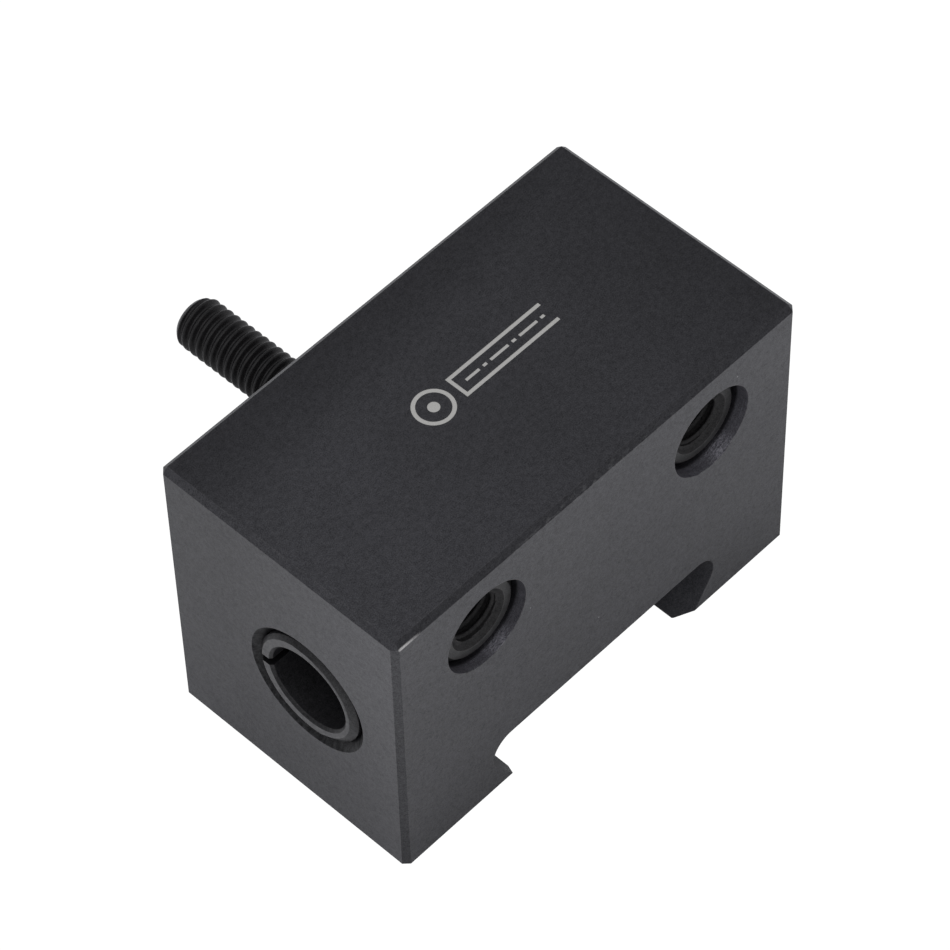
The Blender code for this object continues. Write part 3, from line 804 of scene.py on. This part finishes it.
def stud_hole_tool():
    bottom = Y_HI - STUD_HOLE_DEPTH
    profile = [(bottom - 0.6 * MM, 0.0), (bottom + 0.6 * MM, STUD_HOLE_R),
               (Y_HI - 0.3 * MM, STUD_HOLE_R), (Y_HI + 1.7 * MM, STUD_HOLE_R + 2.0 * MM)]
    return link("stud_hole_tool", turned(profile, "Y", (STUD_X, 0.0, STUD_Z), 96), BORED)


def build_block():
    block = block_blank()
    carve(block, [
        bore_tool(),
        cross_tool("left", torn_left),
        cross_tool("right", torn_right),
        stud_hole_tool(),
        link("dovetail_tool", prism(slot_outline(), "Y", Y_LO - OVERSHOOT, Y_HI + OVERSHOOT),
             MILLED),
        mark_tool()])
    finish(block, "holder", "holder_body")


# ------------------------------------------------------------------ the sleeve
def hand_filed(ring, column, angle):
    """The outer bevel is wider on the -Y side; angles run from +Y to +Z."""
    if ring not in (0, 3):
        return 0.0
    return -SLEEVE_FILED * max(0.0, math.cos(angle - math.radians(165.0))) ** 0.6


def build_sleeve():
    start, end = SLEEVE_X
    profile = [
        (start, SLEEVE_R - SLEEVE_BEVEL), (start + SLEEVE_BEVEL, SLEEVE_R),
        (end - SLEEVE_BEVEL, SLEEVE_R), (end, SLEEVE_R - SLEEVE_BEVEL),
        (end, SLEEVE_ID_R + SLEEVE_ID_BEVEL), (end - SLEEVE_ID_BEVEL, SLEEVE_ID_R),
        (start + SLEEVE_ID_BEVEL, SLEEVE_ID_R), (start, SLEEVE_ID_R + SLEEVE_ID_BEVEL)]
    centre = Vector((0.0, BORE_Y, BORE_Z))
    sleeve = link("split_sleeve", turned(profile, "X", centre, 192, loop=True,
                                         wobble=hand_filed), SLEEVE)
    # the slit opens the +Y side, slightly below the middle
    half = SLEEVE_SLIT / 2.0
    slit = prism(rectangle(0.5 * SLEEVE_ID_R, SLEEVE_R + OVERSHOOT, -half, half),
                 "X", start - OVERSHOOT, end + OVERSHOOT)
    bmesh.ops.rotate(slit, verts=slit.verts, cent=(0, 0, 0),
                     matrix=Matrix.Rotation(-SLEEVE_SLIT_DROP, 3, "X"))
    bmesh.ops.translate(slit, verts=slit.verts, vec=centre)
    carve(sleeve, [link("slit_tool", slit, SLIT)])
    finish(sleeve, "sleeve", "reducing_sleeve")


# ------------------------------------------------------------------ the clamps
def tap_tool(x, z, start, end, material, mouth=0.35 * MM, shallow=0.0, grow=0.06 * MM):
    """Thread cutter through a part between start and end, countersunk at each end.

    Within shallow of start the thread is worn down to part of its depth.  grow
    is the clearance to a mating thread, all round.
    """
    over = 0.6 * MM

    def least(y):
        depth = min(y - start, end - y)
        return CREST + 0.06 * MM + mouth - depth if depth < mouth else 0.0

    def most(y):
        if not shallow:
            return 1.0
        return max(ramp(y, start + shallow, start + shallow + 1.0 * MM,
                        ROOT + 0.30 * MM, CREST + 0.10 * MM), least(y))

    return link("tap_tool", threaded(x, z, start - over, end + over, least, most, grow=grow),
                material)


def scallop_tool(x):
    """Cylinder about the bore's axis; it hollows a cotter to seat on the sleeve."""
    return link("scallop_tool", turned(
        [(x - 7.0 * MM, SCALLOP_R), (x + 7.0 * MM, SCALLOP_R)],
        "X", (0.0, BORE_Y, BORE_Z), 192, turn=math.radians(2.5)), COTTER)


def build_tapped_cotter(side):
    x, z = CLAMP[side].x, CLAMP[side].z
    start, end = CLAMP[side].tapped
    profile = [(start, 0.0), (start, COTTER_R - COTTER_CHAMFER),
               (start + COTTER_CHAMFER, COTTER_R), (end - COTTER_EDGE, COTTER_R),
               (end, COTTER_R - COTTER_EDGE), (end, 0.0)]
    cotter = link("tapped_cotter_" + side, turned(profile, "Y", (x, 0.0, z), 144), COTTER)
    carve(cotter, [
        tap_tool(x, z, start, end, TAPPED, mouth=0.45 * MM, shallow=3.5 * MM),
        scallop_tool(x)])
    finish(cotter, side + "_threaded_cotter", "threaded_cotter_" + side)


def build_plain_cotter(side):
    x, z = CLAMP[side].x, CLAMP[side].z
    start, end = CLAMP[side].plain
    mouth_r = COTTER_HOLE_R + COTTER_HOLE_EDGE
    profile = [(start, COTTER_R - COTTER_EDGE), (start + COTTER_EDGE, COTTER_R),
               (end - COTTER_EDGE, COTTER_R), (end, COTTER_R - COTTER_EDGE),
               (end, mouth_r), (end - COTTER_HOLE_EDGE, COTTER_HOLE_R),
               (start + COTTER_HOLE_EDGE, COTTER_HOLE_R), (start, mouth_r)]
    cotter = link("clearance_cotter_" + side,
                  turned(profile, "Y", (x, 0.0, z), 144, loop=True), COTTER)
    carve(cotter, [scallop_tool(x)])
    finish(cotter, side + "_plain_cotter", "plain_cotter_" + side)


def head_knurl(ring, column, angle):
    return -HEAD_KNURL if ring in (2, 3) and column % 3 == 0 else 0.0


def build_screw(side):
    x, z = CLAMP[side].x, CLAMP[side].z
    start, end = CLAMP[side].screw
    seat = end - HEAD_H
    shank_r = CREST - 0.03 * MM
    screw = link("socket_screw_" + side, threaded(
        x, z, start, seat + 0.5 * MM,
        least=lambda y: ramp(y, seat - 1.2 * MM, seat - 0.9 * MM, 0.0, shank_r),
        most=lambda y: min(ramp(y, start, start + 0.7 * MM, ROOT - 0.12 * MM, CREST + 0.1 * MM),
                           shank_r),
        grow=-0.03 * MM), SCREW)

    def turned_tool(name, profile, segments, wobble=None):
        return link(name, turned(profile, "Y", (x, 0.0, z), segments, wobble=wobble), SCREW)

    head = turned_tool("head_tool", [
        (seat, 0.0), (seat, HEAD_R - 0.45 * MM), (seat + 0.35 * MM, HEAD_R),
        (end - 1.2 * MM, HEAD_R), (end - 0.95 * MM, HEAD_R - 0.12 * MM),
        (end - 0.30 * MM, HEAD_R - 0.16 * MM), (end - 0.08 * MM, HEAD_R - 0.34 * MM),
        (end, HEAD_R - 0.60 * MM), (end, 0.0)], 180, head_knurl)
    corner_r = HEX_FLATS / math.sqrt(3.0)
    bottom = end - HEX_DEPTH
    socket = link("hex_tool", prism(hexagon(corner_r), "Y", bottom, end + OVERSHOOT,
                                    (x, 0.0, z)), SCREW)
    # drilled cone under the socket, and a countersink over it
    drill_r = HEX_FLATS / 2.0 - 0.15 * MM
    drill = turned_tool("drill_tool", [
        (bottom - 0.9 * MM, 0.0), (bottom + 0.1 * MM, drill_r),
        (bottom + 0.3 * MM, drill_r), (bottom + 0.3 * MM, 0.0)], 60)
    mouth = turned_tool("mouth_tool", [
        (end - 0.6 * MM, 0.0), (end - 0.6 * MM, corner_r - 0.5 * MM),
        (end + 0.6 * MM, corner_r + 0.7 * MM), (end + 0.6 * MM, 0.0)], 96)
    carve(screw, [head, socket, drill, mouth], first="UNION")
    finish(screw, side + "_screw", "cap_screw_" + side, sharp=28.0)


# ----------------------------------------------------------- the stud and nuts
def build_stud():
    start, end = STUD_Y
    tip_length, tip_drop, rim = 1.15 * MM, 0.72 * MM, 0.12 * MM

    def tip(y):
        """A cone rounded into the crests, and a small soft rim at the +Y end face."""
        depth = end - y
        if depth >= tip_length:
            return CREST + 0.1 * MM
        cone = CREST - tip_drop + tip_drop * math.sin(depth / tip_length * math.pi / 2.0)
        return cone - max(0.0, rim - depth) * 0.9

    stud = link("threaded_stud", threaded(
        STUD_X, STUD_Z, start, end,
        least=lambda y: ramp(y, Y_HI - 0.9 * MM, Y_HI - 0.5 * MM, CREST - 0.02 * MM, 0.0),
        most=lambda y: min(ramp(y, start, start + 0.6 * MM, CREST - 0.6 * MM, CREST + 0.1 * MM),
                           tip(y))), STUD)
    finish(stud, "holder", "height_stud", sharp=34.0, weighted=False)


def nut_knurl(ring, column, angle):
    if ring not in (2, 3, 4):
        return 0.0
    return KNURL_STEPS[column % 6] * MM * (1.0 if ring == 3 else 0.6)


def build_height_nut():
    start, end = NUT_Y
    rim = start + NUT_RIM
    edge_r, shoulder_r = NUT_R - NUT_EDGE - 0.1 * MM, NUT_R - 0.02 * MM
    profile = [
        (start, 0.0), (start, edge_r), (start + NUT_EDGE, shoulder_r),
        ((start + rim) / 2.0, NUT_R), (rim - NUT_EDGE, shoulder_r), (rim, edge_r),
        (rim, NUT_COLLAR_R + 0.3 * MM), (rim + 0.3 * MM, NUT_COLLAR_R),
        (end - 0.4 * MM, NUT_COLLAR_R), (end, NUT_COLLAR_R - 0.4 * MM), (end, 0.0)]
    nut = link("knurled_nut", turned(profile, "Y", (STUD_X, 0.0, STUD_Z),
                                     len(KNURL_STEPS) * KNURLS, wobble=nut_knurl), NUT)
    carve(nut, [tap_tool(STUD_X, STUD_Z, start, end, NUT)])
    finish(nut, "height_nut", "height_nut", sharp=24.0)


def build_jam_nut():
    start, end = JAM_Y
    centre = (STUD_X, 0.0, STUD_Z)
    nut = link("lock_nut", prism(hexagon(JAM_FLATS / math.sqrt(3.0)), "Y", start, end, centre), NUT)
    # a double cone rounds the corners off
    flat, wide = JAM_FLATS / 2.0 - 0.1 * MM, JAM_FLATS / 2.0 + 2.0 * MM
    drop = (wide - flat) * math.tan(math.radians(30.0))
    mid = (start + end) / 2.0
    profile = [(start, flat), (min(start + drop, mid), wide),
               (max(end - drop, mid + 0.02 * MM), wide), (end, flat)]
    carve(nut, [
        link("corner_tool", turned(profile, "Y", centre, 144), NUT),
        # it slides along the stud without turning, so its thread clears the crests at any phase
        tap_tool(STUD_X, STUD_Z, start, end, NUT, grow=CREST - ROOT + 0.03 * MM),
    ], first="INTERSECT")
    finish(nut, "jam_nut", "jam_nut", sharp=24.0)


# ---------------------------------------------------------------------- studio
# pool of painted light, a glow in the floor's own emission, in mm: its centre (y from the block's
# middle) and spread
POOL_X, POOL_Y, POOL_SPREAD = -45.0, -32.0, 3200.0
# half sizes, in mm, of the floor rectangle round which the glow fades out
UNLIT_X, UNLIT_Y = 27.0, 15.0


def build_floor():
    shape = bmesh.new()
    bmesh.ops.create_circle(shape, cap_ends=True, segments=96, radius=5.0)
    bmesh.ops.translate(shape, verts=shape.verts, vec=(0.0, 0.0, -0.01 * MM))
    shader = Shader(bpy.data.materials.new("pale_floor"))
    point = shader.output("ShaderNodeTexCoord", "Object")
    tone = shader.noise(point, scale=6.0, detail=3.0).remap(over=(0.3, 0.7), to=(0.985, 1.0))
    # the pool lies beyond the corner nearest the camera and fades towards the object
    x, y, _ = shader.split(shader.scaled(point, 1000.0))
    y = y - Y_MID / MM
    beyond_x = shader.math("MAXIMUM", abs(x) - UNLIT_X, 0.0)
    beyond_y = shader.math("MAXIMUM", abs(y) - UNLIT_Y, 0.0)
    away = shader.math("SQRT", beyond_x ** 2.0 + beyond_y ** 2.0)
    off = (x - POOL_X) ** 2.0 + (y - POOL_Y) ** 2.0
    pool = shader.math("EXPONENT", off * (-1.0 / POOL_SPREAD))
    glow = away.remap(over=(2.0, 24.0)) * (0.03 + pool * 0.34)
    paper = shader.output("ShaderNodeBsdfPrincipled", "BSDF", {
        "Base Color": shader.scaled((0.82, 0.82, 0.825), tone), "Roughness": 0.9,
        "Specular IOR Level": 0.1, "Emission Color": (1.0, 1.0, 1.0, 1.0),
        "Emission Strength": glow})
    # seen directly it is blown out to white; what it throws on the object is the paper with its
    # painted glow
    white = shader.output("ShaderNodeEmission", "Emission", {
        "Color": shader.scaled((1.0, 1.0, 1.0), tone), "Strength": 1.06})
    seen = shader.output("ShaderNodeLightPath", "Is Camera Ray")
    both = shader.output("ShaderNodeMixShader", 0, {0: seen, 1: paper, 2: white})
    link("floor", shape, shader.surface(both))


def build_key():
    """A broad soft sun from above, on the camera's side."""
    key = bpy.data.lights.new("key", "SUN")
    key.energy = 0.55
    key.angle = math.radians(60.0)
    obj = bpy.data.objects.new("key", key)
    scene.collection.objects.link(obj)
    toward = Vector((-0.40, -0.20, 1.0)).normalized()
    obj.rotation_euler = toward.to_track_quat("Z", "Y").to_euler()


def build_surround():
    """A surround that is darker behind the object, so that its top face stays dark."""
    scene.world = bpy.data.worlds.new("surround")
    shader = Shader(scene.world)
    brightest = Vector((-0.55, -0.55, 0.25)).normalized()
    facing = shader.vector("DOT_PRODUCT", shader.output("ShaderNodeTexCoord", "Generated"),
                           brightest, output="Value")
    strength = facing.remap(over=(-0.9, 0.9), to=(0.75, 1.10), smooth=True)
    shader.surface(shader.output("ShaderNodeBackground", "Background", {
        "Color": (0.965, 0.968, 1.0, 1.0), "Strength": strength}), "ShaderNodeOutputWorld")


def build_camera():
    """Looks down on the object from -X and -Y."""
    cam = bpy.data.cameras.new("camera")
    cam.sensor_fit = "HORIZONTAL"
    cam.sensor_width = 36.0
    cam.lens = 175.238
    cam.clip_start, cam.clip_end = 0.01, 50.0
    obj = bpy.data.objects.new("camera", cam)
    turn = Matrix(((0.68941549, 0.58412894, -0.42836861),
                   (-0.72414640, 0.54121140, -0.42743679),
                   (-0.01784022, 0.60488313, 0.79611439)))
    place = Vector((-188.289 * MM, Y_MID - 186.692 * MM, 373.045 * MM))
    obj.matrix_world = Matrix.Translation(place) @ turn.to_4x4()
    scene.collection.objects.link(obj)
    scene.camera = obj


build_block()
build_sleeve()
for _side in ("left", "right"):
    build_tapped_cotter(_side)
    build_plain_cotter(_side)
    build_screw(_side)
build_stud()
build_height_nut()
build_jam_nut()
build_floor()
build_key()
build_surround()
build_camera()
scene.view_settings.view_transform = "Standard"
scene.view_settings.look = "None"
scene.view_settings.exposure = 0.0
scene.view_settings.gamma = 1.0
